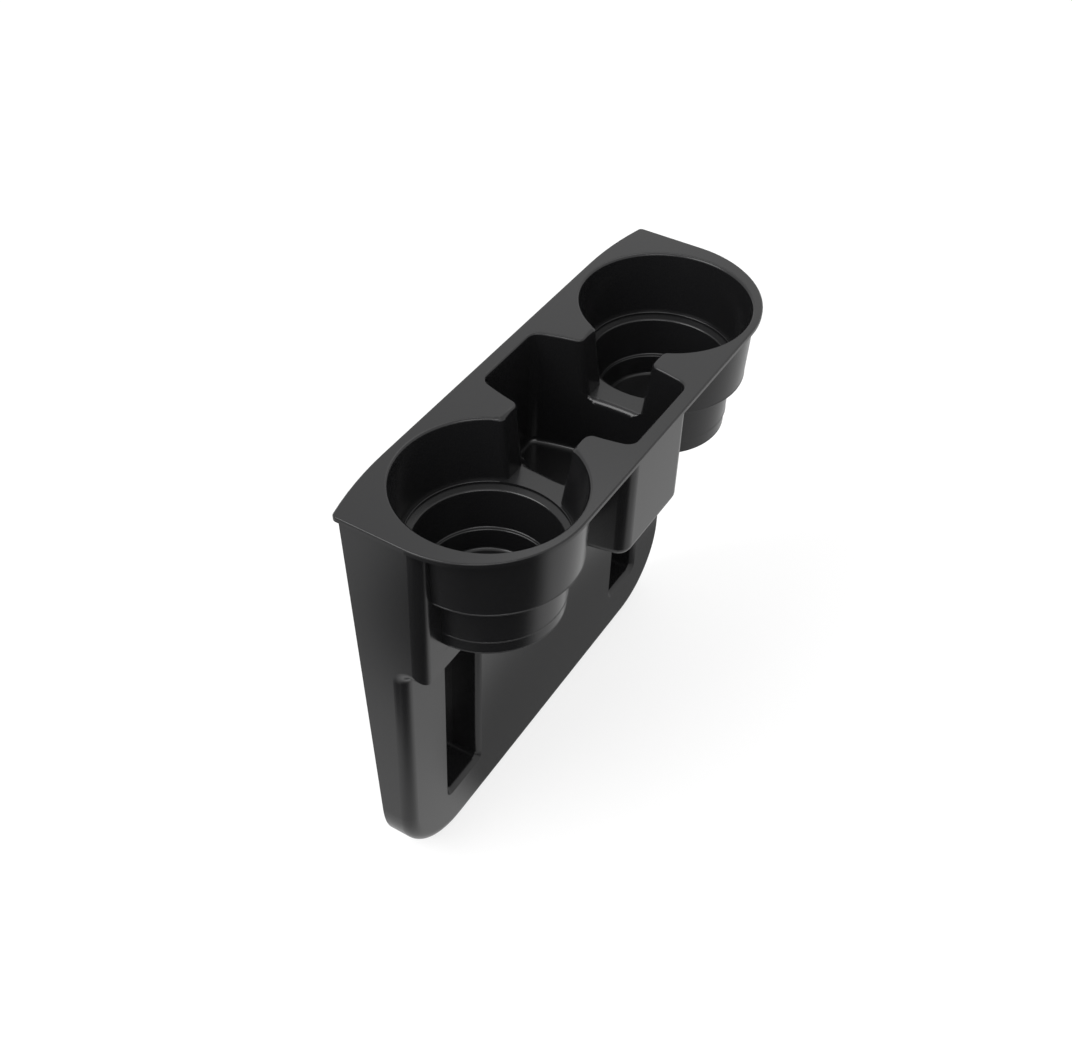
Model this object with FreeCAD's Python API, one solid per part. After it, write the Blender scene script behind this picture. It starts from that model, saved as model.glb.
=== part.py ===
import FreeCAD, Part
import math
import os

from FreeCAD import Vector

# Car cup holder: two stepped cup wells and a tray under one top plate, with a
# hollow wedge below the back of the plate. It is one moulding.
#
# Frame, in mm: the origin is under the plate, in the middle of the wedge that
# goes into the seat gap. +X runs along the holder, +Y to its back, +Z up.
# The sizes below are taken from the top face, midway between the two cup wells.
GAP_MIDDLE_Y = 23.0

# Cup wells, inside
CUP_SPACING = 158.0
CUP_RIM_RADIUS = 41.6
CUP_WALL_1_FOOT_RADIUS = 38.6
CUP_LEDGE_1_Z = -32.1
CUP_LEDGE_1_EDGE_RADIUS = 37.0
CUP_RING_OUTER_Z = -33.5
CUP_RING_INNER_Z = -34.5
CUP_WALL_2_TOP_RADIUS = 33.6
CUP_WALL_2_FOOT_RADIUS = 29.9
CUP_LEDGE_2_Z = -53.4
CUP_WALL_3_TOP_RADIUS = 28.4
CUP_WALL_3_FOOT_RADIUS = 25.9
CUP_FLOOR_Z = -63.2
CUP_BEVEL = 0.8

# Cup wells, outside
CUP_OUTER_1_TOP_RADIUS = 43.4
CUP_OUTER_1_FOOT_RADIUS = 42.1
CUP_OUTER_1_FOOT_Z = -36.4
CUP_OUTER_2_TOP_RADIUS = 35.9
CUP_OUTER_2_FOOT_RADIUS = 35.5
CUP_BAND_Z = -60.0
CUP_BAND_STEP = 0.5
CUP_BASE_Z = -67.0
CUP_FOOT_RING_WALL = 2.2
CUP_FLOOR_THICKNESS = 2.2

# Tray between the cups
TRAY_HALF_WIDTH = 29.3
TRAY_WIDEST_Y = -5.0
TRAY_SIDE_RADIUS = 129.0
TRAY_FRONT_Y = -38.5
TRAY_BACK_Y = 39.8
TRAY_CORNER_RADIUS = 5.4
TRAY_FLOOR_Z = -64.8
TRAY_BASE_Z = -66.8
TRAY_FLOOR_BLEND = 3.0
TRAY_BASE_BLEND = 4.6
TRAY_WALL = 1.9

# Slots from the tray into each cup
SLOT_CENTRE_Y = -0.5
SLOT_TOP_HALF_WIDTH = 17.6
SLOT_FLOOR_HALF_WIDTH = 13.6
SLOT_WALL = 2.0
SADDLE_RADIUS = 3.0

# Top plate, which runs round the cup rims and the tray by these margins
PLATE_END_MARGIN = 10.8
PLATE_FRONT_MARGIN = 4.4
PLATE_BACK_MARGIN = 7.6
PLATE_HALF_LENGTH = CUP_SPACING / 2.0 + CUP_RIM_RADIUS + PLATE_END_MARGIN
PLATE_FRONT_Y = -CUP_RIM_RADIUS - PLATE_FRONT_MARGIN
PLATE_BACK_Y = TRAY_BACK_Y + PLATE_BACK_MARGIN
PLATE_THICKNESS = 2.5
PLATE_END_RADIUS = 52.0
PLATE_END_TAPER = 0.5
BACK_END_LENGTH = 43.4
BACK_STRAIGHT_X = PLATE_HALF_LENGTH - BACK_END_LENGTH
BACK_BEND_RADIUS = 170.0
PLATE_CORNER_RADIUS = 3.0
PLATE_EDGE_BEVEL = 0.8

# Bevelled edge round the whole opening in the plate, and the rounded upright edges
# of the four lands between the tray, the slots and the cups
OPENING_BEVEL = 1.4
LAND_CUP_RADIUS = 3.4
LAND_TRAY_RADIUS = 4.5
LAND_MIDDLE_X = 34.0

# Wedge below the back of the plate
WEDGE_INSET = 2.1
WEDGE_BACK_LEAN = 3.7
WEDGE_WALL = 2.2
BLOCK_FRONT_Y = 0.8
BLOCK_BASE_Z = -84.0
STEP_BLEND_RADIUS = 4.0
PANEL_STEP = 10.4
PANEL_FRONT_Y = BLOCK_FRONT_Y + PANEL_STEP
PANEL_BASE_Z = -230.8
PANEL_CORNER_RADIUS = 42.0
WEDGE_EDGE_RADIUS = 6.0

# Pockets in the front of the wedge
POCKET_WIDTH = 26.2
POCKET_DEPTH = 16.1
POCKET_END_MARGIN = 36.0
POCKET_FOOT_MARGIN = 30.3
POCKET_OUTER_X = PLATE_HALF_LENGTH - POCKET_END_MARGIN
POCKET_INNER_X = POCKET_OUTER_X - POCKET_WIDTH
POCKET_FLOOR_Z = PANEL_BASE_Z + POCKET_FOOT_MARGIN
POCKET_BACK_Y = PANEL_FRONT_Y + POCKET_DEPTH
POCKET_WALL = 2.2
POCKET_CORNER_RADIUS = 2.5
POCKET_MOUTH_BEVEL = 2.6
POCKET_TOP_GAP = 1.0

# How far a cutting form runs past the face that it cuts, and how far the slots run
# into the tray and the cups
PAST_FACE = 6.0
SLOT_OVERLAP = 6.0
WEDGE_DEPTH_SPARE = 20.0

# How far an edge may lie from a plane and still count as in it
FLAT = 0.05

NODE = "holder_body"


def point(x, y, z=0.0):
    return Vector(x, y, z)


def arc_between(start, middle, end):
    return Part.Arc(start, middle, end).toShape()


def bevel_where(shape, size, chosen):
    edges = [edge for edge in shape.Edges if chosen(edge)]
    return shape.makeChamfer(size, edges)


def polygon_face(points):
    return Part.Face(Part.makePolygon(points + [points[0]]))


def fillet_where(shape, radius, chosen):
    edges = [edge for edge in shape.Edges if chosen(edge)]
    return shape.makeFillet(radius, edges)


def back_point(x, inset, z):
    """Point on the back outline, which is straight in the middle and bends at the ends."""
    side = 1.0 if x > 0.0 else -1.0
    run = abs(x) - BACK_STRAIGHT_X
    bend = BACK_BEND_RADIUS - inset
    return point(side * abs(x), PLATE_BACK_Y - inset - bend + math.sqrt(bend * bend - run * run), z)


def back_arc(side, end_x, inset, z):
    straight = BACK_STRAIGHT_X
    start = point(side * straight, PLATE_BACK_Y - inset, z)
    middle = back_point(side * (straight + end_x) / 2.0, inset, z)
    return arc_between(start, middle, back_point(side * end_x, inset, z))


def plate_wire(z):
    """Outline of the plate seen from above."""
    end_x = PLATE_HALF_LENGTH
    radius = PLATE_END_RADIUS
    corner_x = end_x - PLATE_END_TAPER
    centre = point(end_x - radius, PLATE_FRONT_Y + radius, z)
    turn = radius * math.sqrt(0.5)
    straight = BACK_STRAIGHT_X
    edges = []
    for side in (1.0, -1.0):
        corner = back_point(side * corner_x, 0.0, z)
        side_foot = point(side * end_x, centre.y, z)
        front_end = point(side * centre.x, PLATE_FRONT_Y, z)
        middle = point(side * (centre.x + turn), centre.y - turn, z)
        edges.append(back_arc(side, corner_x, 0.0, z))
        edges.append(Part.LineSegment(corner, side_foot).toShape())
        edges.append(arc_between(side_foot, middle, front_end))
    edges.append(Part.LineSegment(point(centre.x, PLATE_FRONT_Y, z),
                                  point(-centre.x, PLATE_FRONT_Y, z)).toShape())
    edges.append(Part.LineSegment(point(straight, PLATE_BACK_Y, z),
                                  point(-straight, PLATE_BACK_Y, z)).toShape())
    return Part.Wire(Part.__sortEdges__(edges))


def is_upright(edge):
    box = edge.BoundBox
    return box.ZLength > FLAT and box.XLength < FLAT and box.YLength < FLAT


def make_plate():
    """The flat top plate with its bevelled lip."""
    face = Part.Face(plate_wire(-PLATE_THICKNESS))
    plate = face.extrude(Vector(0, 0, PLATE_THICKNESS))

    def back_corner(edge):
        centre = edge.CenterOfMass
        return is_upright(edge) and centre.y > 0.0 and abs(centre.x) > BACK_STRAIGHT_X + FLAT

    plate = fillet_where(plate, PLATE_CORNER_RADIUS, back_corner)
    return bevel_where(plate, PLATE_EDGE_BEVEL, lambda edge: edge.BoundBox.ZMin > -FLAT)


def revolve_profile(edges, x):
    """A closed outline in the XZ plane turned about the upright line at x."""
    face = Part.Face(Part.Wire(Part.__sortEdges__(edges)))
    solid = face.revolve(Vector(0, 0, 0), Vector(0, 0, 1), 360)
    solid.translate(Vector(x, 0, 0))
    return solid


def bevelled_outline(corners):
    """Edges of an outline in the XZ plane. Each corner is (radius, height, bevel)."""
    count = len(corners)
    ends = []
    for index, (r, z, bevel) in enumerate(corners):
        here = point(r, 0, z)
        before = point(corners[index - 1][0], 0, corners[index - 1][1])
        after = point(corners[(index + 1) % count][0], 0, corners[(index + 1) % count][1])
        first = here + (before - here).normalize() * bevel
        last = here + (after - here).normalize() * bevel
        ends.append((first, last))
    edges = []
    for index in range(count):
        first, last = ends[index]
        arrive = ends[(index + 1) % count][0]
        if (last - first).Length > 1e-6:
            edges.append(Part.LineSegment(first, last).toShape())
        edges.append(Part.LineSegment(last, arrive).toShape())
    return edges


def cup_inside(x):
    """Space inside one cup well: three steps down to a round floor."""
    corners = [
        (0.0, 0.0, 0.0),
        (CUP_RIM_RADIUS, 0.0, 0.0),
        (CUP_WALL_1_FOOT_RADIUS, CUP_LEDGE_1_Z, 0.0),
        (CUP_LEDGE_1_EDGE_RADIUS, CUP_LEDGE_1_Z, 0.0),
        (CUP_LEDGE_1_EDGE_RADIUS, CUP_RING_OUTER_Z, 0.0),
        (CUP_WALL_2_TOP_RADIUS, CUP_RING_INNER_Z, CUP_BEVEL),
        (CUP_WALL_2_FOOT_RADIUS, CUP_LEDGE_2_Z, 0.0),
        (CUP_WALL_3_TOP_RADIUS, CUP_LEDGE_2_Z, CUP_BEVEL),
        (CUP_WALL_3_FOOT_RADIUS, CUP_FLOOR_Z, 0.0),
        (0.0, CUP_FLOOR_Z, 0.0),
    ]
    return revolve_profile(bevelled_outline(corners), x)


def cup_outside(x):
    """Outer body of one cup well: a wide section, a narrow one and a low band."""
    top = -PLATE_THICKNESS / 2.0
    corners = [
        (0.0, top, 0.0),
        (CUP_OUTER_1_TOP_RADIUS, top, 0.0),
        (CUP_OUTER_1_FOOT_RADIUS, CUP_OUTER_1_FOOT_Z, CUP_BEVEL),
        (CUP_OUTER_2_TOP_RADIUS, CUP_OUTER_1_FOOT_Z, 0.0),
        (CUP_OUTER_2_FOOT_RADIUS, CUP_BAND_Z, 0.0),
        (CUP_OUTER_2_FOOT_RADIUS - CUP_BAND_STEP, CUP_BAND_Z - CUP_BAND_STEP, 0.0),
        (CUP_OUTER_2_FOOT_RADIUS - CUP_BAND_STEP, CUP_BASE_Z, CUP_BEVEL),
        (0.0, CUP_BASE_Z, 0.0),
    ]
    return revolve_profile(bevelled_outline(corners), x)


def cup_foot_hollow(x):
    """Hollow under the third step, open downward, that leaves a foot ring."""
    skirt = CUP_OUTER_2_FOOT_RADIUS - CUP_BAND_STEP - CUP_FOOT_RING_WALL
    below = CUP_BASE_Z - PAST_FACE
    floor_under = CUP_FLOOR_Z - CUP_FLOOR_THICKNESS
    wall_3 = CUP_WALL_3_TOP_RADIUS + CUP_FOOT_RING_WALL
    wall_3_foot = CUP_WALL_3_FOOT_RADIUS + CUP_FOOT_RING_WALL
    corners = [
        (0.0, below, 0.0),
        (skirt, below, 0.0),
        (skirt, CUP_LEDGE_2_Z - CUP_FLOOR_THICKNESS, 0.0),
        (wall_3, CUP_LEDGE_2_Z - CUP_FLOOR_THICKNESS, 0.0),
        (wall_3_foot, floor_under, 0.0),
        (0.0, floor_under, 0.0),
    ]
    return revolve_profile(bevelled_outline(corners), x)


def tray_wire(z, grow):
    """Outline of the tray with bowed sides, larger all round by grow."""
    front = TRAY_FRONT_Y - grow
    back = TRAY_BACK_Y + grow
    middle = TRAY_HALF_WIDTH + grow
    centre_x = middle - TRAY_SIDE_RADIUS
    front_x = centre_x + math.sqrt(TRAY_SIDE_RADIUS ** 2 - (front - TRAY_WIDEST_Y) ** 2)
    back_x = centre_x + math.sqrt(TRAY_SIDE_RADIUS ** 2 - (back - TRAY_WIDEST_Y) ** 2)
    edges = []
    for side in (1.0, -1.0):
        first = point(side * front_x, front, z)
        last = point(side * back_x, back, z)
        edges.append(arc_between(first, point(side * middle, TRAY_WIDEST_Y, z), last))
    edges.append(Part.LineSegment(point(front_x, front, z), point(-front_x, front, z)).toShape())
    edges.append(Part.LineSegment(point(back_x, back, z), point(-back_x, back, z)).toShape())
    return Part.Wire(Part.__sortEdges__(edges))


def tray_form(top, foot, grow, blend):
    """A tray with bowed sides, rounded upright corners and a rounded base."""
    tray = Part.Face(tray_wire(foot, grow)).extrude(Vector(0, 0, top - foot))
    tray = fillet_where(tray, TRAY_CORNER_RADIUS + grow, is_upright)
    return fillet_where(tray, blend, lambda edge: edge.BoundBox.ZMax < foot + FLAT)


def tray_inside():
    return tray_form(0.0, TRAY_FLOOR_Z, 0.0, TRAY_FLOOR_BLEND)


def tray_outside():
    return tray_form(-PLATE_THICKNESS / 2.0, TRAY_BASE_Z, TRAY_WALL, TRAY_BASE_BLEND)


def slot_form(side, top, floor, grow, near_x, far_x):
    """A drafted channel that leads from the tray into one cup."""
    lean = (SLOT_TOP_HALF_WIDTH - SLOT_FLOOR_HALF_WIDTH) / -CUP_LEDGE_1_Z
    top_half = SLOT_TOP_HALF_WIDTH + lean * top + grow
    floor_half = SLOT_FLOOR_HALF_WIDTH + grow
    x = side * near_x
    profile = [
        point(x, SLOT_CENTRE_Y - floor_half, floor),
        point(x, SLOT_CENTRE_Y + floor_half, floor),
        point(x, SLOT_CENTRE_Y + top_half, top),
        point(x, SLOT_CENTRE_Y - top_half, top),
    ]
    return polygon_face(profile).extrude(Vector(side * (far_x - near_x), 0, 0))


def slot_inside(side):
    return slot_form(side, 0.0, CUP_LEDGE_1_Z, 0.0, TRAY_HALF_WIDTH - SLOT_OVERLAP,
                     CUP_SPACING / 2.0 - CUP_LEDGE_1_EDGE_RADIUS + SLOT_OVERLAP)


def slot_outside(side):
    return slot_form(side, -PLATE_THICKNESS / 2.0, CUP_LEDGE_1_Z - SLOT_WALL, SLOT_WALL,
                     TRAY_HALF_WIDTH - SLOT_OVERLAP, CUP_SPACING / 2.0 - CUP_LEDGE_1_EDGE_RADIUS)


def is_beyond_lands(edge):
    return abs(edge.CenterOfMass.x) > LAND_MIDDLE_X


def is_land_edge(edge):
    """An upright edge where a slot's side wall meets the tray or a cup."""
    middle_half = (SLOT_TOP_HALF_WIDTH + SLOT_FLOOR_HALF_WIDTH) / 2.0
    from_wall = abs(abs(edge.CenterOfMass.y - SLOT_CENTRE_Y) - middle_half)
    box = edge.BoundBox
    full_height = box.ZLength > -CUP_LEDGE_1_Z - FLAT
    return full_height and box.XLength < SLOT_OVERLAP and from_wall < SLOT_WALL


def is_saddle_edge(edge):
    """The edge where a slot's floor drops into the tray."""
    box = edge.BoundBox
    level = abs(box.ZMin - CUP_LEDGE_1_Z) < FLAT and abs(box.ZMax - CUP_LEDGE_1_Z) < FLAT
    return level and box.YLength > SLOT_FLOOR_HALF_WIDTH


def is_opening_edge(edge):
    """An edge in the plane of the top face, inside the plate's outline."""
    box = edge.BoundBox
    inside_x = abs(edge.CenterOfMass.x) < PLATE_HALF_LENGTH
    inside_y = box.YMin > PLATE_FRONT_Y and box.YMax < PLATE_BACK_Y
    return abs(box.ZMin) < FLAT and abs(box.ZMax) < FLAT and inside_x and inside_y


def opening_form():
    """Everything that is open from above: tray, slots and cups in one form."""
    form = tray_inside()
    for side in (-1.0, 1.0):
        form = form.fuse(slot_inside(side))
    form = form.removeSplitter()
    form = fillet_where(form, LAND_TRAY_RADIUS, lambda edge: is_land_edge(edge) and not is_beyond_lands(edge))
    form = fillet_where(form, SADDLE_RADIUS, lambda edge: is_saddle_edge(edge) and not is_beyond_lands(edge))
    for side in (-1.0, 1.0):
        form = form.fuse(cup_inside(side * CUP_SPACING / 2.0))
    form = form.removeSplitter()
    form = fillet_where(form, LAND_CUP_RADIUS, lambda edge: is_land_edge(edge) and is_beyond_lands(edge))
    return bevel_where(form.fuse(space_above_top()), OPENING_BEVEL, is_opening_edge)


def space_above_top():
    """A slab over the plate, so that the opening's bevel can be cut with the opening."""
    reach_x = PLATE_HALF_LENGTH + PAST_FACE
    reach_y = PLATE_BACK_Y + PAST_FACE
    return Part.makeBox(2.0 * reach_x, 2.0 * reach_y, PAST_FACE, Vector(-reach_x, -reach_y, 0.0))


def is_wedge_front(edge, half, panel_y, panel_z):
    """Edges down both ends of the wedge's front and along its bottom."""
    box = edge.BoundBox
    if box.YMax > panel_y + FLAT or box.ZMin > -PLATE_THICKNESS:
        return False
    at_end = abs(abs(edge.CenterOfMass.x) - half) < FLAT
    return at_end or box.ZMin < panel_z + PANEL_CORNER_RADIUS


def wedge_form(grow, depth):
    """Block and panel of the wedge. A negative grow gives the hollow inside its walls.

    The side outline steps back below the block, and one rounding runs down both
    ends of it and along the bottom.
    """
    half = PLATE_HALF_LENGTH - PLATE_END_TAPER - WEDGE_INSET + grow
    top = -PLATE_THICKNESS / 2.0
    block_y = BLOCK_FRONT_Y - grow
    panel_y = PANEL_FRONT_Y - grow
    block_z = BLOCK_BASE_Z - grow
    panel_z = PANEL_BASE_Z - grow
    blend = STEP_BLEND_RADIUS - grow
    turn = blend * (1.0 - math.sqrt(0.5))
    start = point(-half, depth, top)
    corners = [start, point(-half, block_y, top), point(-half, block_y, block_z),
               point(-half, panel_y - blend, block_z)]
    blend_end = point(-half, panel_y, block_z - blend)
    outline = [Part.LineSegment(a, b).toShape() for a, b in zip(corners, corners[1:])]
    outline.append(arc_between(corners[-1], point(-half, panel_y - turn, block_z - turn), blend_end))
    corners = [blend_end, point(-half, panel_y, panel_z), point(-half, depth, panel_z), start]
    outline += [Part.LineSegment(a, b).toShape() for a, b in zip(corners, corners[1:])]
    form = Part.Face(Part.Wire(outline)).extrude(Vector(2.0 * half, 0, 0))
    form = fillet_where(form, PANEL_CORNER_RADIUS + grow,
                        lambda edge: edge.BoundBox.ZMax < panel_z + FLAT and edge.BoundBox.XLength < FLAT)
    if grow < 0.0:
        return bevel_where(form, WEDGE_EDGE_RADIUS + grow, lambda edge: is_wedge_front(edge, half, panel_y, panel_z))
    return fillet_where(form, WEDGE_EDGE_RADIUS, lambda edge: is_wedge_front(edge, half, panel_y, panel_z))


def wedge_back_limit():
    """Everything in front of the leaning back face of the wedge."""
    reach = PLATE_HALF_LENGTH + PAST_FACE
    front = BLOCK_FRONT_Y - WEDGE_DEPTH_SPARE
    edges = []
    for side in (1.0, -1.0):
        edges.append(back_arc(side, reach, WEDGE_INSET, 0.0))
        end = back_point(side * reach, WEDGE_INSET, 0.0)
        edges.append(Part.LineSegment(end, point(side * reach, front)).toShape())
    back = PLATE_BACK_Y - WEDGE_INSET
    edges.append(Part.LineSegment(point(BACK_STRAIGHT_X, back), point(-BACK_STRAIGHT_X, back)).toShape())
    edges.append(Part.LineSegment(point(reach, front), point(-reach, front)).toShape())
    face = Part.Face(Part.Wire(Part.__sortEdges__(edges)))
    drop = -PANEL_BASE_Z + WEDGE_DEPTH_SPARE
    limit = face.extrude(Vector(0, 0, -drop))
    limit.rotate(point(0, back), Vector(1, 0, 0), -WEDGE_BACK_LEAN)
    return limit


def pocket_form(side, grow, front_y):
    """One upright pocket with rounded corners, larger all round by grow."""
    top_z = BLOCK_BASE_Z - STEP_BLEND_RADIUS - POCKET_MOUTH_BEVEL - POCKET_TOP_GAP + grow
    low_z = POCKET_FLOOR_Z - grow
    low_x = POCKET_INNER_X - grow
    high_x = POCKET_OUTER_X + grow
    back_y = POCKET_BACK_Y + grow
    start_x = low_x if side > 0.0 else -high_x
    form = Part.makeBox(high_x - low_x, back_y - front_y, top_z - low_z, Vector(start_x, front_y, low_z))
    return fillet_where(form, POCKET_CORNER_RADIUS + grow, lambda edge: edge.BoundBox.YLength > FLAT)


def is_pocket_mouth(edge):
    box = edge.BoundBox
    on_panel = abs(box.YMin - PANEL_FRONT_Y) < FLAT and abs(box.YMax - PANEL_FRONT_Y) < FLAT
    x = abs(edge.CenterOfMass.x)
    inside_x = POCKET_INNER_X - FLAT < x < POCKET_OUTER_X + FLAT
    inside_z = box.ZMin > POCKET_FLOOR_Z - FLAT and box.ZMax < BLOCK_BASE_Z - STEP_BLEND_RADIUS - FLAT
    return on_panel and inside_x and inside_z


def make_wedge():
    """The hollow wedge, open to the back, with two pockets in its panel."""
    depth = PLATE_BACK_Y + WEDGE_DEPTH_SPARE
    wedge = wedge_form(0.0, depth).common(wedge_back_limit()).cut(wedge_form(-WEDGE_WALL, depth + PAST_FACE))
    for side in (-1.0, 1.0):
        wedge = wedge.fuse(pocket_form(side, POCKET_WALL, PANEL_FRONT_Y + WEDGE_WALL / 2.0))
        wedge = wedge.cut(pocket_form(side, 0.0, PANEL_FRONT_Y - PAST_FACE))
    return bevel_where(wedge, POCKET_MOUTH_BEVEL, is_pocket_mouth)


def make_holder():
    half_spacing = CUP_SPACING / 2.0
    holder = make_plate().fuse(make_wedge()).fuse(tray_outside())
    for side in (-1.0, 1.0):
        holder = holder.fuse(cup_outside(side * half_spacing))
        holder = holder.fuse(slot_outside(side))
    holder = holder.cut(opening_form())
    for side in (-1.0, 1.0):
        holder = holder.cut(cup_foot_hollow(side * half_spacing))
    holder = holder.removeSplitter()
    holder.translate(Vector(0, -GAP_MIDDLE_Y, PLATE_THICKNESS))
    return holder


def main():
    os.makedirs("parts", exist_ok=True)
    holder = make_holder()
    print("solids", len(holder.Solids), "valid", holder.isValid(), "volume", round(holder.Volume))
    print("box", holder.optimalBoundingBox(False, False))
    holder.exportStep("parts/" + NODE + ".step")


main()
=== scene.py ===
# %% Load the frame
import math

import bmesh
import bpy
from mathutils import Matrix, Vector


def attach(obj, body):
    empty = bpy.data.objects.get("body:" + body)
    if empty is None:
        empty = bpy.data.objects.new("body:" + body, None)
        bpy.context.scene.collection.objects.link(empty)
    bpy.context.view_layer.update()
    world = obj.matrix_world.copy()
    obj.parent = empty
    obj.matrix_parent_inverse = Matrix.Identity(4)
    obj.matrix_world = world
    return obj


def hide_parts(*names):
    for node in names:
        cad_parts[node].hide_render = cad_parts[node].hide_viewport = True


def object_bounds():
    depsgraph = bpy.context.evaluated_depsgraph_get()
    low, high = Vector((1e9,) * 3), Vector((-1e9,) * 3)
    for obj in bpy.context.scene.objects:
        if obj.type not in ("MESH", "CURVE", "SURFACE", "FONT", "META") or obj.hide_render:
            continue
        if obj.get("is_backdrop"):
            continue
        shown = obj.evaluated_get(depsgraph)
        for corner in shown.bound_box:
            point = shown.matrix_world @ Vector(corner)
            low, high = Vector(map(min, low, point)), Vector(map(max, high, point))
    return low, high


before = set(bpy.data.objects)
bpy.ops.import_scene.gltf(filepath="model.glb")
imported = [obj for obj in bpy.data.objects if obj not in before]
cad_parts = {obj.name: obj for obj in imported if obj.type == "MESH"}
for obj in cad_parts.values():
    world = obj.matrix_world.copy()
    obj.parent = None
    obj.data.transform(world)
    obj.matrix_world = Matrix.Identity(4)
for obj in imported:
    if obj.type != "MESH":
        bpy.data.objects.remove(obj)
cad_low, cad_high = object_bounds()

MM = 0.001


def in_mm(place):
    """A place's three numbers in millimetres, for printing."""
    return [round(c / MM, 1) for c in place]


print("frame from", in_mm(cad_low), "to", in_mm(cad_high))

# %% [markdown]
# # Car cup holder
# The object is one black plastic moulding. Two stepped cup wells and an open tray hang
# under a flat plate, and a hollow wedge below the back of the plate is pushed down into
# the gap beside a car seat. The frame brings the solid. This lesson gives it soft edges
# and a moulded surface, adds the small roundings in and under the cups that the solid
# leaves out, and then sets up the camera, a white ground and the light.

# %% [markdown]
# ## One skin with soft edges
# A mould can't make a knife edge: every corner of the real thing is rounded by a few
# tenths of a millimetre, and those small roundings are what catches the light. The
# solid has a narrow bevel along each of them, but a bevel is flat, so it would shine all
# at once or not at all. A Bevel modifier could round it further, but it cuts notches
# into long thin triangles, and Weighted Normal also washes out the small steps of the
# cups. So the skin is made here by hand: the loose triangles are joined, each broad face
# keeps the direction that its true surface has, and only the bevels between two broad
# faces turn smoothly from the one to the other.

# %% Read the loose triangles
NODE = "holder_body"
JOIN_REACH = 0.002 * MM


def joined_points(source):
    """The points of a mesh without doubles, and the new number of each old point."""
    numbers = {}
    points = []
    joined = []
    for vertex in source.vertices:
        key = tuple(round(c / JOIN_REACH) for c in vertex.co)
        if key not in numbers:
            numbers[key] = len(points)
            points.append(vertex.co.copy())
        joined.append(numbers[key])
    return points, joined


def loose_triangles(source, joined):
    """The triangles by their joined points, with the direction at each of their corners."""
    faces = []
    for polygon in source.polygons:
        corners = [joined[v] for v in polygon.vertices]
        if len(set(corners)) < len(corners):
            continue
        loops = polygon.loop_indices
        faces.append({
            "corners": corners,
            "directions": [source.corner_normals[loop].vector.copy() for loop in loops],
            "loose": list(polygon.vertices),
            "normal": polygon.normal.copy(),
            "area": polygon.area,
            "centre": polygon.center.copy(),
        })
    return faces


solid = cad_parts[NODE].data
points, joined = joined_points(solid)
faces = loose_triangles(solid, joined)
print(len(faces), "triangles on", len(points), "joined points")

# %% [markdown]
# ## Which faces are bevels
# The loose triangles still hang together within each surface of the solid, so a walk
# from triangle to triangle finds the surfaces. Every group of joined triangles has one
# leader, and two groups that share a point get the same one.

# %% Find the surfaces


def surface_numbers(faces):
    """A number for each triangle, the same for all triangles of one surface."""
    leader = {}

    def find(v):
        while leader.setdefault(v, v) != v:
            leader[v] = leader[leader[v]]
            v = leader[v]
        return v

    for face in faces:
        first, *others = face["loose"]
        for v in others:
            leader[find(v)] = find(first)
    return [find(face["loose"][0]) for face in faces]


surfaces = surface_numbers(faces)
print(len(set(surfaces)), "surfaces")

# %% [markdown]
# A surface is a bevel if it is narrow and almost all of its border is a blunt outward
# corner, because a bevel cuts a corner into two blunt ones. A step's slope has one inward
# corner, so it stays as crisp as it is.

# %% Pick the bevels
BLUNT_LEAST = math.radians(25.0)
BLUNT_MOST = math.radians(65.0)
BLUNT_SHARE = 0.7
BEVEL_WIDTH_MOST = 5.0 * MM


def border_edges(faces, surfaces):
    """Pairs of triangles of two surfaces that share an edge, with the edge's length."""
    waiting = {}
    for index, face in enumerate(faces):
        for a, b in zip(face["corners"], face["corners"][1:] + face["corners"][:1]):
            other = waiting.pop((b, a), None)
            if other is None:
                waiting[(a, b)] = index
            elif surfaces[other] != surfaces[index]:
                yield index, other, (points[a] - points[b]).length


def is_blunt(one, two):
    """Whether two triangles meet in a blunt corner that points outwards."""
    bend = one["normal"].angle(two["normal"], 0.0)
    outward = one["normal"].dot(two["centre"] - one["centre"]) < 0.0
    return outward and BLUNT_LEAST < bend < BLUNT_MOST


def bevel_surfaces(faces, surfaces):
    """The numbers of the narrow surfaces with a mostly blunt border."""
    area = {}
    border = {}
    blunt = {}
    for face, surface in zip(faces, surfaces):
        area[surface] = area.get(surface, 0.0) + face["area"]
    for one, two, length in border_edges(faces, surfaces):
        for surface in (surfaces[one], surfaces[two]):
            border[surface] = border.get(surface, 0.0) + length
            if is_blunt(faces[one], faces[two]):
                blunt[surface] = blunt.get(surface, 0.0) + length
    return {s for s in area if blunt.get(s, 0.0) > BLUNT_SHARE * border.get(s, 1.0)
            and 2.0 * area[s] < BEVEL_WIDTH_MOST * border[s]}


bevels = bevel_surfaces(faces, surfaces)
print(len(bevels), "of the surfaces are bevels")

# %% [markdown]
# ## Turn the bevels' light
# At each corner of a bevel's triangle, the directions of the broad faces that meet there
# are averaged, if they lie within reach. The mesh then carries one direction a corner,
# which is what smooth shading reads.

# %% Turn the corners' directions
BORROW_REACH = math.radians(65.0)


def broad_directions(faces, surfaces, bevels):
    """For each point, the direction there of every broad surface that meets it."""
    broad = {}
    for face, surface in zip(faces, surfaces):
        if surface in bevels:
            continue
        for point, direction in zip(face["corners"], face["directions"]):
            broad.setdefault(point, {})[surface] = direction
    return broad


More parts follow.
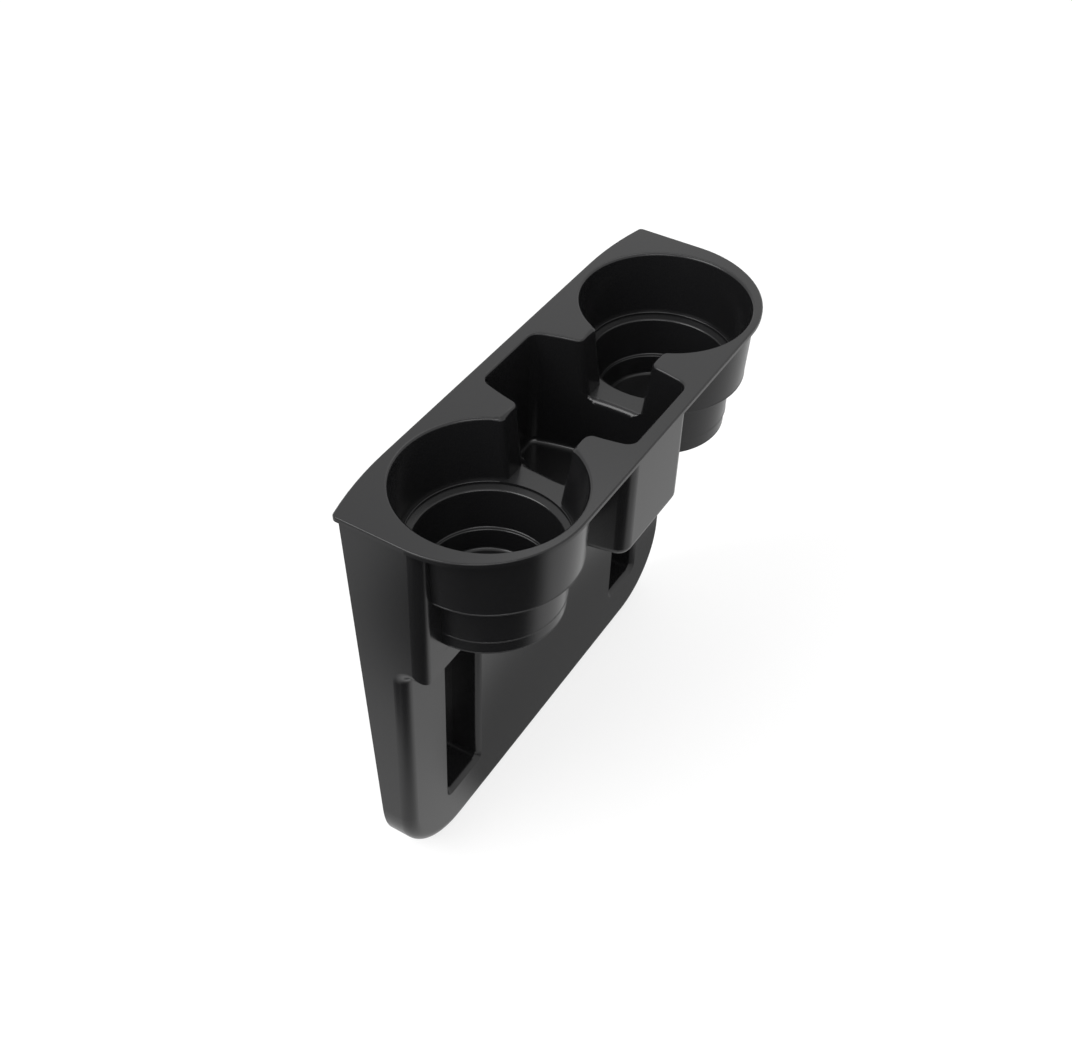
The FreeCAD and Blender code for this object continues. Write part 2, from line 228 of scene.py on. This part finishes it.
def soft_directions(faces, surfaces, bevels):
    """One direction for each corner of each triangle, turned softly on the bevels."""
    broad = broad_directions(faces, surfaces, bevels)
    directions = []
    for face, surface in zip(faces, surfaces):
        for point, own in zip(face["corners"], face["directions"]):
            near = []
            if surface in bevels:
                met = broad.get(point, {}).values()
                near = [d for d in met if d.angle(face["normal"], 0.0) < BORROW_REACH]
            directions.append(sum(near, Vector()).normalized() if near else own)
    return directions


directions = soft_directions(faces, surfaces, bevels)
print(len(directions), "corners with their own direction")

# %% Make the skin


def placed(name, data):
    """A new object in the scene."""
    thing = bpy.data.objects.new(name, data)
    bpy.context.scene.collection.objects.link(thing)
    return thing


def skin_mesh(name, points, faces, directions):
    """A joined mesh that shades by the given directions."""
    mesh = bpy.data.meshes.new(name)
    mesh.from_pydata(points, [], [face["corners"] for face in faces])
    mesh.shade_smooth()
    mesh.normals_split_custom_set(directions)
    return mesh


skin = placed("holder_skin", skin_mesh("holder_skin", points, faces, directions))
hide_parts(NODE)
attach(skin, "root")
print("skin of", len(skin.data.polygons), "triangles and", len(skin.data.vertices), "points")

# %% [markdown]
# ## The moulded surface
# The plastic is a satin black. The mould's surface was roughened by sparks, so the part
# carries a very fine grain, and its gloss drifts slowly where the plastic met a hotter or
# a colder wall. A single flat colour would look like a toy, and an image would show its
# repeats, so both effects are built from noise on the object's own coordinates, which
# have a real size in metres and don't slide when the part is moved.

# %% Two helpers for node trees


def new_tree(kind, name, inputs, outputs):
    """A node tree with named sockets; gives the tree, what it gets and what it gives out."""
    tree = bpy.data.node_groups.new(name, kind)
    for label, socket_kind in inputs.items():
        tree.interface.new_socket(label, in_out="INPUT", socket_type=socket_kind)
    for label, socket_kind in outputs.items():
        tree.interface.new_socket(label, in_out="OUTPUT", socket_type=socket_kind)
    given = tree.nodes.new("NodeGroupInput").outputs
    result = tree.nodes.new("NodeGroupOutput").inputs
    return tree, given, result


def math_node(tree, operation, *values):
    """A math node on numbers or sockets; gives its result socket."""
    node = tree.nodes.new("ShaderNodeMath")
    node.operation = operation
    for slot, value in zip(node.inputs, values):
        if isinstance(value, (int, float)):
            slot.default_value = value
        else:
            tree.links.new(value, slot)
    return node.outputs[0]


# %% The grain and the drift of the gloss, as one node group
GRAIN_DETAIL = 3.0
GRAIN_FINE_SHARE = 0.6
DRIFTS_PER_METRE = 22.0
DRIFT_DETAIL = 2.0
NOISE_MIDDLE = 0.5


def spark_grain():
    """Fine moulded grain: a height for Bump, and a roughness that drifts slowly."""
    inputs = {"Vector": "NodeSocketVector", "Grains per metre": "NodeSocketFloat",
              "Roughness": "NodeSocketFloat", "Change": "NodeSocketFloat"}
    outputs = {"Height": "NodeSocketFloat", "Roughness": "NodeSocketFloat"}
    tree, given, result = new_tree("ShaderNodeTree", "spark grain", inputs, outputs)
    fine = tree.nodes.new("ShaderNodeTexNoise")
    fine.inputs["Detail"].default_value = GRAIN_DETAIL
    fine.inputs["Roughness"].default_value = GRAIN_FINE_SHARE
    drift = tree.nodes.new("ShaderNodeTexNoise")
    drift.inputs["Scale"].default_value = DRIFTS_PER_METRE
    drift.inputs["Detail"].default_value = DRIFT_DETAIL
    tree.links.new(given["Vector"], fine.inputs["Vector"])
    tree.links.new(given["Grains per metre"], fine.inputs["Scale"])
    tree.links.new(given["Vector"], drift.inputs["Vector"])
    centred = math_node(tree, "SUBTRACT", drift.outputs["Fac"], NOISE_MIDDLE)
    drifting = math_node(tree, "MULTIPLY_ADD", centred, given["Change"], given["Roughness"])
    tree.links.new(fine.outputs["Fac"], result["Height"])
    tree.links.new(drifting, result["Roughness"])
    return tree


grain_group = spark_grain()
print("group", grain_group.name, "of", len(grain_group.nodes), "nodes")

# %% The satin black plastic
PLASTIC_COLOUR = (0.009, 0.009, 0.0095, 1.0)
PLASTIC_IOR = 1.45
PLASTIC_ROUGHNESS = 0.23
GLOSS_CHANGE = 0.05
GRAINS_PER_METRE = 2200.0
GRAIN_STRENGTH = 0.25
GRAIN_DEPTH = 0.02 * MM


def satin_black():
    """Black moulded plastic with a fine grain."""
    material = bpy.data.materials.new("satin black plastic")
    material.use_nodes = True
    tree = material.node_tree
    shader = tree.nodes["Principled BSDF"]
    shader.inputs["Base Color"].default_value = PLASTIC_COLOUR
    shader.inputs["IOR"].default_value = PLASTIC_IOR
    place = tree.nodes.new("ShaderNodeTexCoord")
    grain = tree.nodes.new("ShaderNodeGroup")
    grain.node_tree = grain_group
    grain.inputs["Grains per metre"].default_value = GRAINS_PER_METRE
    grain.inputs["Roughness"].default_value = PLASTIC_ROUGHNESS
    grain.inputs["Change"].default_value = GLOSS_CHANGE
    bump = tree.nodes.new("ShaderNodeBump")
    bump.inputs["Strength"].default_value = GRAIN_STRENGTH
    bump.inputs["Distance"].default_value = GRAIN_DEPTH
    tree.links.new(place.outputs["Object"], grain.inputs["Vector"])
    tree.links.new(grain.outputs["Height"], bump.inputs["Height"])
    tree.links.new(grain.outputs["Roughness"], shader.inputs["Roughness"])
    tree.links.new(bump.outputs["Normal"], shader.inputs["Normal"])
    return material


satin = satin_black()
skin.data.materials.append(satin)
print("material", satin.name, "on", skin.name)

# %% [markdown]
# ## Hollow roundings at the foot of each cup wall
# Where a cup's wall meets a ledge or the floor, the mould has a small hollow rounding, or
# cove: plastic flows round it easily, and a cup that is wiped out has no dirty corner. It
# draws the thin pale rings inside the wells. A cove is one profile along a circle, so it
# is made with Geometry Nodes: an arc that touches the floor and the leaning wall, with its
# last point moved behind the corner, is swept along the wall's foot.
#
# The profile is drawn on its own first, with the wall's foot at its origin. The arc is
# moved in by as much as a round of its radius needs to touch both sides of the corner,
# and a hair into the plastic. Its last point is the arc's centre, and that one is pushed
# behind the corner, so that the profile closes inside the plastic.

# %% The cove's profile
COVE_SUNK = 0.02 * MM
COVE_BEHIND = 0.4 * MM
COVE_STEPS = 9


def cove_arc(tree, given):
    """An arc that is closed through its centre, moved to touch the floor and the wall."""
    half_corner = math_node(tree, "MULTIPLY_ADD", given["Lean"], 0.5, math.pi / 4.0)
    tangent = math_node(tree, "TANGENT", half_corner)
    inset = math_node(tree, "DIVIDE", given["Cove radius"], tangent)
    sweep = math_node(tree, "SUBTRACT", math.pi / 2.0, given["Lean"])
    arc = tree.nodes.new("GeometryNodeCurveArc")
    arc.mode = "RADIUS"
    arc.inputs["Resolution"].default_value = COVE_STEPS
    arc.inputs["Connect Center"].default_value = True
    tree.links.new(given["Cove radius"], arc.inputs["Radius"])
    tree.links.new(given["Lean"], arc.inputs["Start Angle"])
    tree.links.new(sweep, arc.inputs["Sweep Angle"])
    shift = tree.nodes.new("ShaderNodeCombineXYZ")
    tree.links.new(math_node(tree, "SUBTRACT", COVE_SUNK, inset), shift.inputs["X"])
    rise = math_node(tree, "SUBTRACT", COVE_SUNK, given["Cove radius"])
    tree.links.new(rise, shift.inputs["Y"])
    moved = tree.nodes.new("GeometryNodeSetPosition")
    tree.links.new(arc.outputs["Curve"], moved.inputs["Geometry"])
    tree.links.new(shift.outputs[0], moved.inputs["Offset"])
    return moved.outputs["Geometry"]


def last_point(tree):
    """True for the profile's last point, which is the arc's centre."""
    number = tree.nodes.new("GeometryNodeInputIndex")
    last = tree.nodes.new("FunctionNodeCompare")
    last.data_type = "INT"
    last.operation = "EQUAL"
    for socket in last.inputs:
        if socket.type == "INT" and socket.name == "A":
            tree.links.new(number.outputs[0], socket)
        if socket.type == "INT" and socket.name == "B":
            socket.default_value = COVE_STEPS
    return last.outputs["Result"]


def cove_profile(tree, given):
    """The arc with its last point pushed behind the corner."""
    behind = tree.nodes.new("ShaderNodeCombineXYZ")
    behind.inputs["X"].default_value = COVE_BEHIND
    behind.inputs["Y"].default_value = COVE_BEHIND
    corner = tree.nodes.new("GeometryNodeSetPosition")
    tree.links.new(behind.outputs[0], corner.inputs["Position"])
    tree.links.new(cove_arc(tree, given), corner.inputs["Geometry"])
    tree.links.new(last_point(tree), corner.inputs["Selection"])
    return corner.outputs["Geometry"]


# %% [markdown]
# The threads of the next step are made the same way, a profile swept along a circle round
# a cup, so the end of both trees is one helper. Realize Instances and Set Material close
# it, because what leaves the tree has to be a real mesh with its own material.

# %% A helper that sweeps a profile along a path


def swept_form(tree, path, profile, centre, caps):
    """A profile swept along a path, moved to its centre, made real and given the plastic."""
    swept = tree.nodes.new("GeometryNodeCurveToMesh")
    swept.inputs["Fill Caps"].default_value = caps
    tree.links.new(path, swept.inputs["Curve"])
    tree.links.new(profile, swept.inputs["Profile Curve"])
    place = tree.nodes.new("GeometryNodeTransform")
    tree.links.new(swept.outputs["Mesh"], place.inputs["Geometry"])
    tree.links.new(centre, place.inputs["Translation"])
    real = tree.nodes.new("GeometryNodeRealizeInstances")
    tree.links.new(place.outputs["Geometry"], real.inputs["Geometry"])
    painted = tree.nodes.new("GeometryNodeSetMaterial")
    painted.inputs["Material"].default_value = satin
    tree.links.new(real.outputs["Geometry"], painted.inputs["Geometry"])
    return painted.outputs["Geometry"]


# %% The tree that sweeps a cove along a wall's foot


def cove_tree():
    """The tree of one cove: a full ring of the cove's profile."""
    inputs = {"Wall radius": "NodeSocketFloat", "Cove radius": "NodeSocketFloat",
              "Lean": "NodeSocketFloat", "Foot centre": "NodeSocketVector",
              "Path steps": "NodeSocketInt"}
    outputs = {"Geometry": "NodeSocketGeometry"}
    tree, given, result = new_tree("GeometryNodeTree", "cove ring", inputs, outputs)
    path = tree.nodes.new("GeometryNodeCurvePrimitiveCircle")
    tree.links.new(given["Path steps"], path.inputs["Resolution"])
    tree.links.new(given["Wall radius"], path.inputs["Radius"])
    profile = cove_profile(tree, given)
    ring = swept_form(tree, path.outputs["Curve"], profile, given["Foot centre"], caps=False)
    tree.links.new(ring, result["Geometry"])
    return tree


cove_rings = cove_tree()
print("tree", cove_rings.name, "of", len(cove_rings.nodes), "nodes")

# %% From a tree to a piece
MERGE_REACH = 0.005 * MM
CREASE_ANGLE = math.radians(40.0)


def grown_mesh(name, tree, values):
    """The plain mesh that a tree makes from its named values; its holder object goes."""
    holder = placed(name, bpy.data.meshes.new(name))
    modifier = holder.modifiers.new(name, "NODES")
    modifier.node_group = tree
    for item in tree.interface.items_tree:
        if item.in_out == "INPUT":
            modifier[item.identifier] = values[item.name]
    shape = bpy.context.evaluated_depsgraph_get()
    mesh = bpy.data.meshes.new_from_object(holder.evaluated_get(shape))
    bpy.data.objects.remove(holder)
    return mesh


def joined_piece(name, meshes):
    """One object from several plain meshes, with doubles merged and faces turned outwards."""
    form = bmesh.new()
    for mesh in meshes:
        form.from_mesh(mesh)
    bmesh.ops.remove_doubles(form, verts=form.verts, dist=MERGE_REACH)
    bmesh.ops.recalc_face_normals(form, faces=form.faces)
    whole = bpy.data.meshes.new(name)
    form.to_mesh(whole)
    form.free()
    whole.materials.append(satin)
    whole.shade_smooth()
    whole.set_sharp_from_angle(angle=CREASE_ANGLE)
    piece = placed(name, whole)
    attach(piece, "root")
    return piece


# %% Sweep the coves of both cups
CUP_CENTRES = {"left": (-79.0, -23.0), "right": (79.0, -23.0)}
TOP_LEVEL = 2.5
COVE_PATH_STEPS = 96
COVES = {
    "second ledge": {"wall": 29.9, "level": -53.4, "radius": 1.0, "lean": 11.1},
    "floor": {"wall": 25.9, "level": -63.2, "radius": 2.2, "lean": 14.3},
}


def cup_point(side, level):
    """A point on a cup's middle line; the level is counted from the plate's top."""
    x, y = CUP_CENTRES[side]
    return (x * MM, y * MM, (level + TOP_LEVEL) * MM)


def cove_mesh(cove, side):
    """The plain mesh of one cove, already in its place."""
    return grown_mesh("cove", cove_rings, {
        "Wall radius": cove["wall"] * MM,
        "Cove radius": cove["radius"] * MM,
        "Lean": math.radians(cove["lean"]),
        "Foot centre": cup_point(side, cove["level"]),
        "Path steps": COVE_PATH_STEPS,
    })


cove_meshes = [cove_mesh(cove, side) for cove in COVES.values() for side in CUP_CENTRES]
coves = joined_piece("cup_coves", cove_meshes)
print("coves at the", " and the ".join(COVES), "of", len(coves.data.polygons), "faces")

# %% [markdown]
# ## Rounded edges of the cups' steps
# Seen from above, the lower edge of each cup step shows as a thin pale line. It is not a
# painted line: the edge is rounded, and where the rounding turns out of sight it mirrors
# the pale ground at a flat angle, where any plastic mirrors well. The solid has sharp
# edges there, so a round thread is swept along each one, deep enough in the corner to
# cover its tip. Outside, the threads keep to the front half, because the block covers the
# rest. Inside, one thread rounds the first ledge and stops where the slot begins.

# %% The tree that sweeps a round thread along an edge
THREAD_SIDES = 16


def thread_tree():
    """The tree of one thread: a round profile along an arc, with closed ends."""
    inputs = {"Edge radius": "NodeSocketFloat", "Thread radius": "NodeSocketFloat",
              "Start": "NodeSocketFloat", "Sweep": "NodeSocketFloat",
              "Edge centre": "NodeSocketVector", "Path steps": "NodeSocketInt"}
    outputs = {"Geometry": "NodeSocketGeometry"}
    tree, given, result = new_tree("GeometryNodeTree", "edge thread", inputs, outputs)
    path = tree.nodes.new("GeometryNodeCurveArc")
    path.mode = "RADIUS"
    tree.links.new(given["Path steps"], path.inputs["Resolution"])
    tree.links.new(given["Edge radius"], path.inputs["Radius"])
    tree.links.new(given["Start"], path.inputs["Start Angle"])
    tree.links.new(given["Sweep"], path.inputs["Sweep Angle"])
    profile = tree.nodes.new("GeometryNodeCurvePrimitiveCircle")
    profile.inputs["Resolution"].default_value = THREAD_SIDES
    tree.links.new(given["Thread radius"], profile.inputs["Radius"])
    thread = swept_form(tree, path.outputs["Curve"], profile.outputs["Curve"],
                        given["Edge centre"], caps=True)
    tree.links.new(thread, result["Geometry"])
    return tree


edge_threads = thread_tree()
print("tree", edge_threads.name, "of", len(edge_threads.nodes), "nodes")

# %% Where each thread runs
EDGES = {
    "first step": {"radius": 42.1, "level": -36.4, "slot_gap": 26.0, "inside": False},
    "band": {"radius": 35.5, "level": -60.0, "slot_gap": 0.0, "inside": False},
    "foot": {"radius": 34.9, "level": -67.0, "slot_gap": 0.0, "inside": False},
    "first ledge": {"radius": 37.0, "level": -32.1, "slot_gap": 25.0, "inside": True},
}
END_IN_BLOCK = 2.0


def thread_span(edge, side):
    """Where a thread starts and ends, in degrees round its cup."""
    gap = edge["slot_gap"]
    if edge["inside"]:
        towards_tray = 0.0 if side == "left" else 180.0
        return towards_tray + gap, towards_tray + 360.0 - gap
    start = 180.0 - END_IN_BLOCK
    end = 360.0 + END_IN_BLOCK
    if gap and side == "left":
        end = 360.0 - gap
    if gap and side == "right":
        start = 180.0 + gap
    return start, end


for name, edge in EDGES.items():
    print(name, "runs from and to", [thread_span(edge, side) for side in CUP_CENTRES])

# %% Lay the threads along both cups
THREAD_RADIUS = 0.5
THREAD_OUT = 0.3
THREAD_PATH_STEPS = 73


def thread_mesh(edge, side):
    """The plain mesh of one thread, sunk into the plastic beside its edge."""
    start, end = thread_span(edge, side)
    sunk = THREAD_RADIUS * (1.0 - THREAD_OUT)
    if edge["inside"]:
        sunk = -sunk
    x, y = CUP_CENTRES[side]
    level = edge["level"] + TOP_LEVEL + sunk
    return grown_mesh("thread", edge_threads, {
        "Edge radius": (edge["radius"] - sunk) * MM,
        "Thread radius": THREAD_RADIUS * MM,
        "Start": math.radians(start),
        "Sweep": math.radians(end - start),
        "Edge centre": (x * MM, y * MM, level * MM),
        "Path steps": THREAD_PATH_STEPS,
    })


thread_meshes = [thread_mesh(edge, side) for edge in EDGES.values() for side in CUP_CENTRES]
threads = joined_piece("cup_threads", thread_meshes)
print("threads of", len(threads.data.polygons), "faces")

# %% [markdown]
# ## The block's wall under the cups
# The front wall of the block runs on behind each cup's base, down to the block's lower
# edge. In the solid, the hollow in the cup's foot is cut a few millimetres too far down,
# and opens a low window in that wall. A plain strip closes it, a hair behind the wall's
# front, so that the two faces don't fight for the same pixels.

# %% Close the wall
WALL_FRONT = -22.15
WALL_BACK = -20.05
WINDOW_LOW = -71.0
WINDOW_HIGH = -62.9
WINDOW_HALF = 33.0


def plain_box(name, low, high):
    """A closed box mesh between two corners, given in millimetres."""
    form = bmesh.new()
    bmesh.ops.create_cube(form, size=1.0)
    for vertex in form.verts:
        for axis in range(3):
            middle = (low[axis] + high[axis]) / 2.0
            vertex.co[axis] = (middle + vertex.co[axis] * (high[axis] - low[axis])) * MM
    mesh = bpy.data.meshes.new(name)
    form.to_mesh(mesh)
    form.free()
    return mesh


strips = []
for x, y in CUP_CENTRES.values():
    low = (x - WINDOW_HALF, WALL_FRONT, WINDOW_LOW)
    high = (x + WINDOW_HALF, WALL_BACK, WINDOW_HIGH)
    strips.append(plain_box("strip", low, high))
web = joined_piece("block_wall_strips", strips)
print("strips of", len(web.data.polygons), "faces")

# %% [markdown]
# ## The camera
# The photograph was taken from above the near end, a little to the front. The place and
# the three directions of the camera were worked out from the two cup rims, the plate and
# the tray, whose sizes are known.

# %% Set the camera
CAMERA_PLACE = Vector((-458.86, -264.22, 395.41)) * MM
CAMERA_RIGHT = Vector((0.5191267, -0.85427152, 0.02697486))
CAMERA_UP = Vector((0.57329532, 0.37144292, 0.73031681))
FOCAL_PIXELS = 1447.24
PHOTO_WIDTH = 1072
SENSOR_WIDTH = 36.0
NEAREST_SEEN = 10.0 * MM
FARTHEST_SEEN = 20.0

lens = bpy.data.cameras.new("camera")
lens.sensor_width = SENSOR_WIDTH
lens.lens = FOCAL_PIXELS / PHOTO_WIDTH * SENSOR_WIDTH
lens.clip_start = NEAREST_SEEN
lens.clip_end = FARTHEST_SEEN
camera = placed("camera", lens)
backward = CAMERA_RIGHT.cross(CAMERA_UP)
turn = Matrix((CAMERA_RIGHT, CAMERA_UP, backward)).transposed()
camera.matrix_world = Matrix.Translation(CAMERA_PLACE) @ turn.to_4x4()
bpy.context.scene.camera = camera
print("lens", round(lens.lens, 2), "mm")

# %% [markdown]
# ## A white ground that keeps the shadow
# The photograph has a plain white ground. The floor lies at the wedge's lower edge. The
# camera sees it as white, with a faint shadow of the part. Mirror rays see a pale ground
# with dark cards on it and a painted shade beneath the part, and all other light meets a
# plain grey floor, so that the ground doesn't flood the part with light.
#
# A real photographer lays the part on white paper and puts dark cards beside it, because
# black plastic shows only what it mirrors. The dark cards at the front on the left make
# the cups and the plate's near end dark on that side, and the white paper on the right
# makes them bright. A fainter dark patch beneath the part itself is painted shade: the
# mirror glow of the ground carries no shadow, so the shade that the part casts there is
# painted into it. The cards and this painted shade are drawn by the floor's own material,
# as oval patches with soft edges.

# %% Helpers for light that depends on the kind of ray


def mixed_shader(tree, factor, first, second):
    """A mix of two shaders: the first where the factor is 0, the second where it is 1."""
    mix = tree.nodes.new("ShaderNodeMixShader")
    tree.links.new(factor, mix.inputs[0])
    tree.links.new(first, mix.inputs[1])
    tree.links.new(second, mix.inputs[2])
    return mix.outputs[0]


def grey_diffuse(tree, grey):
    """A matt grey shader."""
    shader = tree.nodes.new("ShaderNodeBsdfDiffuse")
    shader.inputs["Color"].default_value = (grey, grey, grey, 1.0)
    return shader.outputs[0]


# %% The dark cards, and the painted shade beneath the part
CARDS_AND_SHADE = {
    "left and front": {"centre": (-300.0, -270.0), "reach": (290.0, 290.0),
                       "dark": 0.97, "soft": 0.35},
    "near end": {"centre": (-320.0, 15.0), "reach": (112.0, 140.0),
                 "dark": 0.95, "soft": 0.3},
    # The patch beneath the part is painted shade, standing in for the shadow that the mirror
    # glow lacks.
    "shade beneath the part": {"centre": (60.0, -15.0), "reach": (145.0, 52.0),
                       "dark": 0.68, "soft": 0.2},
}


def patch_mask(tree, patch):
    """A number that is 1 on an oval patch of the floor and fades to 0 over its soft edge."""
    x, y = patch["centre"]
    wide, deep = patch["reach"]
    place = tree.nodes.new("ShaderNodeNewGeometry")
    shift = tree.nodes.new("ShaderNodeVectorMath")
    shift.operation = "SUBTRACT"
    shift.inputs[1].default_value = (x * MM, y * MM, cad_low.z)
    squash = tree.nodes.new("ShaderNodeVectorMath")
    squash.operation = "DIVIDE"
    squash.inputs[1].default_value = (wide * MM, deep * MM, 1.0)
    length = tree.nodes.new("ShaderNodeVectorMath")
    length.operation = "LENGTH"
    fade = tree.nodes.new("ShaderNodeMapRange")
    fade.interpolation_type = "SMOOTHSTEP"
    fade.inputs["From Min"].default_value = 1.0 - patch["soft"]
    fade.inputs["From Max"].default_value = 1.0
    fade.inputs["To Min"].default_value = 1.0
    fade.inputs["To Max"].default_value = 0.0
    tree.links.new(place.outputs["Position"], shift.inputs[0])
    tree.links.new(shift.outputs[0], squash.inputs[0])
    tree.links.new(squash.outputs[0], length.inputs[0])
    tree.links.new(length.outputs["Value"], fade.inputs["Value"])
    return fade.outputs[0]


def card_and_shade_brightness(tree, patches):
    """How bright the ground is in a mirror: 1, and less on every dark card and on the painted
    shade beneath the part.
    """
    brightness = None
    for patch in patches.values():
        darker = math_node(tree, "MULTIPLY_ADD", patch_mask(tree, patch), -patch["dark"], 1.0)
        if brightness is None:
            brightness = darker
        else:
            brightness = math_node(tree, "MULTIPLY", brightness, darker)
    return brightness


print(len(CARDS_AND_SHADE), "cards:", ", ".join(CARDS_AND_SHADE))

# %% The ground's material
FLOOR_GREY = 0.5
FLOOR_GLOW = 0.72
SHADE_SHARE = 0.33
MIRROR_GLOW = 0.78


def white_and_shadow(tree):
    """What the camera sees: a glow, and a faint matt share that takes the shadow."""
    glow = tree.nodes.new("ShaderNodeEmission")
    glow.inputs["Strength"].default_value = FLOOR_GLOW
    both = tree.nodes.new("ShaderNodeAddShader")
    tree.links.new(grey_diffuse(tree, SHADE_SHARE), both.inputs[0])
    tree.links.new(glow.outputs[0], both.inputs[1])
    return both.outputs[0]


def mirrored_ground(tree, patches):
    """What mirror rays see: a pale glow with the dark cards and a painted shade beneath the
    part.
    """
    shader = tree.nodes.new("ShaderNodeEmission")
    level = math_node(tree, "MULTIPLY", card_and_shade_brightness(tree, patches), MIRROR_GLOW)
    tree.links.new(level, shader.inputs["Strength"])
    return shader.outputs[0]


def white_ground(name, grey, patches):
    """A ground that is white to the camera, grey to the rest, and to mirror rays pale with
    dark cards and a painted shade beneath the part.
    """
    material = bpy.data.materials.new(name)
    material.use_nodes = True
    tree = material.node_tree
    tree.nodes.clear()
    result = tree.nodes.new("ShaderNodeOutputMaterial")
    seen = tree.nodes.new("ShaderNodeLightPath").outputs
    mirror_ray = math_node(tree, "MAXIMUM", seen["Is Glossy Ray"], seen["Is Transmission Ray"])
    plain = grey_diffuse(tree, grey)
    unseen = mixed_shader(tree, mirror_ray, plain, mirrored_ground(tree, patches))
    surface = mixed_shader(tree, seen["Is Camera Ray"], unseen, white_and_shadow(tree))
    tree.links.new(surface, result.inputs["Surface"])
    return material


pale_floor = white_ground("pale floor", FLOOR_GREY, CARDS_AND_SHADE)
print("material", pale_floor.name, "of", len(pale_floor.node_tree.nodes), "nodes")

# %% Lay the floor
FLOOR_SIZE = 30.0


def floor_square(name, size, level):
    """A flat square mesh round the origin."""
    half = size / 2.0
    corners = [(-half, -half, level), (half, -half, level),
               (half, half, level), (-half, half, level)]
    mesh = bpy.data.meshes.new(name)
    mesh.from_pydata(corners, [], [(0, 1, 2, 3)])
    return mesh


floor = placed("floor", floor_square("floor", FLOOR_SIZE, cad_low.z))
floor.data.materials.append(pale_floor)
floor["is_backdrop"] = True
print("floor at", round(cad_low.z / MM, 1), "mm")

# %% [markdown]
# ## The light
# The room is an even pale sky, white to the camera and in mirrors, and a little less
# bright to all other light. Panels add what draws the thin bright lines on the rounded
# edges. A rounded edge mirrors a strip of the room, from the one face's direction to the
# other's, so a bright panel in that strip becomes a thin line. Of the three panels, one
# stands behind on the left, one at the near left, and a softer one high on the right.

# %% The pale room
SKY_STRENGTH = 0.75
MIRROR_SKY = 1.0


def white_sky(tree, strength):
    """A white background of the given strength."""
    sky = tree.nodes.new("ShaderNodeBackground")
    sky.inputs["Color"].default_value = (1.0, 1.0, 1.0, 1.0)
    sky.inputs["Strength"].default_value = strength
    return sky.outputs[0]


def pale_room(name):
    """A sky that is white to the camera and in mirrors, and softer as a light."""
    world = bpy.data.worlds.new(name)
    world.use_nodes = True
    tree = world.node_tree
    tree.nodes.clear()
    result = tree.nodes.new("ShaderNodeOutputWorld")
    seen = tree.nodes.new("ShaderNodeLightPath").outputs
    straight = math_node(tree, "MAXIMUM", seen["Is Camera Ray"], seen["Is Glossy Ray"])
    direct = math_node(tree, "MAXIMUM", straight, seen["Is Transmission Ray"])
    dim = white_sky(tree, SKY_STRENGTH)
    white = white_sky(tree, MIRROR_SKY)
    tree.links.new(mixed_shader(tree, direct, dim, white), result.inputs["Surface"])
    return world


bpy.context.scene.world = pale_room("pale room")
print("sky", SKY_STRENGTH, "as a light and", MIRROR_SKY, "as it is seen")

# %% The panels
PANEL_DISTANCE = 1.5
PANELS = {
    "back left panel": {"azimuth": 151.0, "height": 45.0, "size": (1.0, 0.9), "level": 5.0},
    "near left panel": {"azimuth": 222.0, "height": 42.0, "size": (0.9, 0.4), "level": 4.0},
    "right panel": {"azimuth": 15.0, "height": 55.0, "size": (0.6, 0.5), "level": 1.5},
}


def sky_direction(azimuth, height):
    """The direction to a place in the sky, from its two angles in degrees."""
    turn = math.radians(azimuth)
    lift = math.radians(height)
    return Vector((math.cos(turn) * math.cos(lift), math.sin(turn) * math.cos(lift),
                   math.sin(lift)))


def soft_panel(name, panel):
    """A soft light that faces the object and that the camera doesn't see."""
    wide, high = panel["size"]
    data = bpy.data.lights.new(name, "AREA")
    data.shape = "RECTANGLE"
    data.size = wide
    data.size_y = high
    data.energy = math.pi * wide * high * panel["level"]
    towards = sky_direction(panel["azimuth"], panel["height"])
    lamp = placed(name, data)
    lamp.visible_camera = False
    lamp.location = towards * PANEL_DISTANCE
    lamp.rotation_mode = "QUATERNION"
    lamp.rotation_quaternion = (-towards).to_track_quat("-Z", "Y")
    return lamp


for name, panel in PANELS.items():
    lamp = soft_panel(name, panel)
    print(name, "of", round(lamp.data.energy, 2), "watts")
bpy.context.scene.view_settings.view_transform = "Standard"

# %% Write the sizes and finish
low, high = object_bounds()
print("visual from", in_mm(low), "to", in_mm(high))
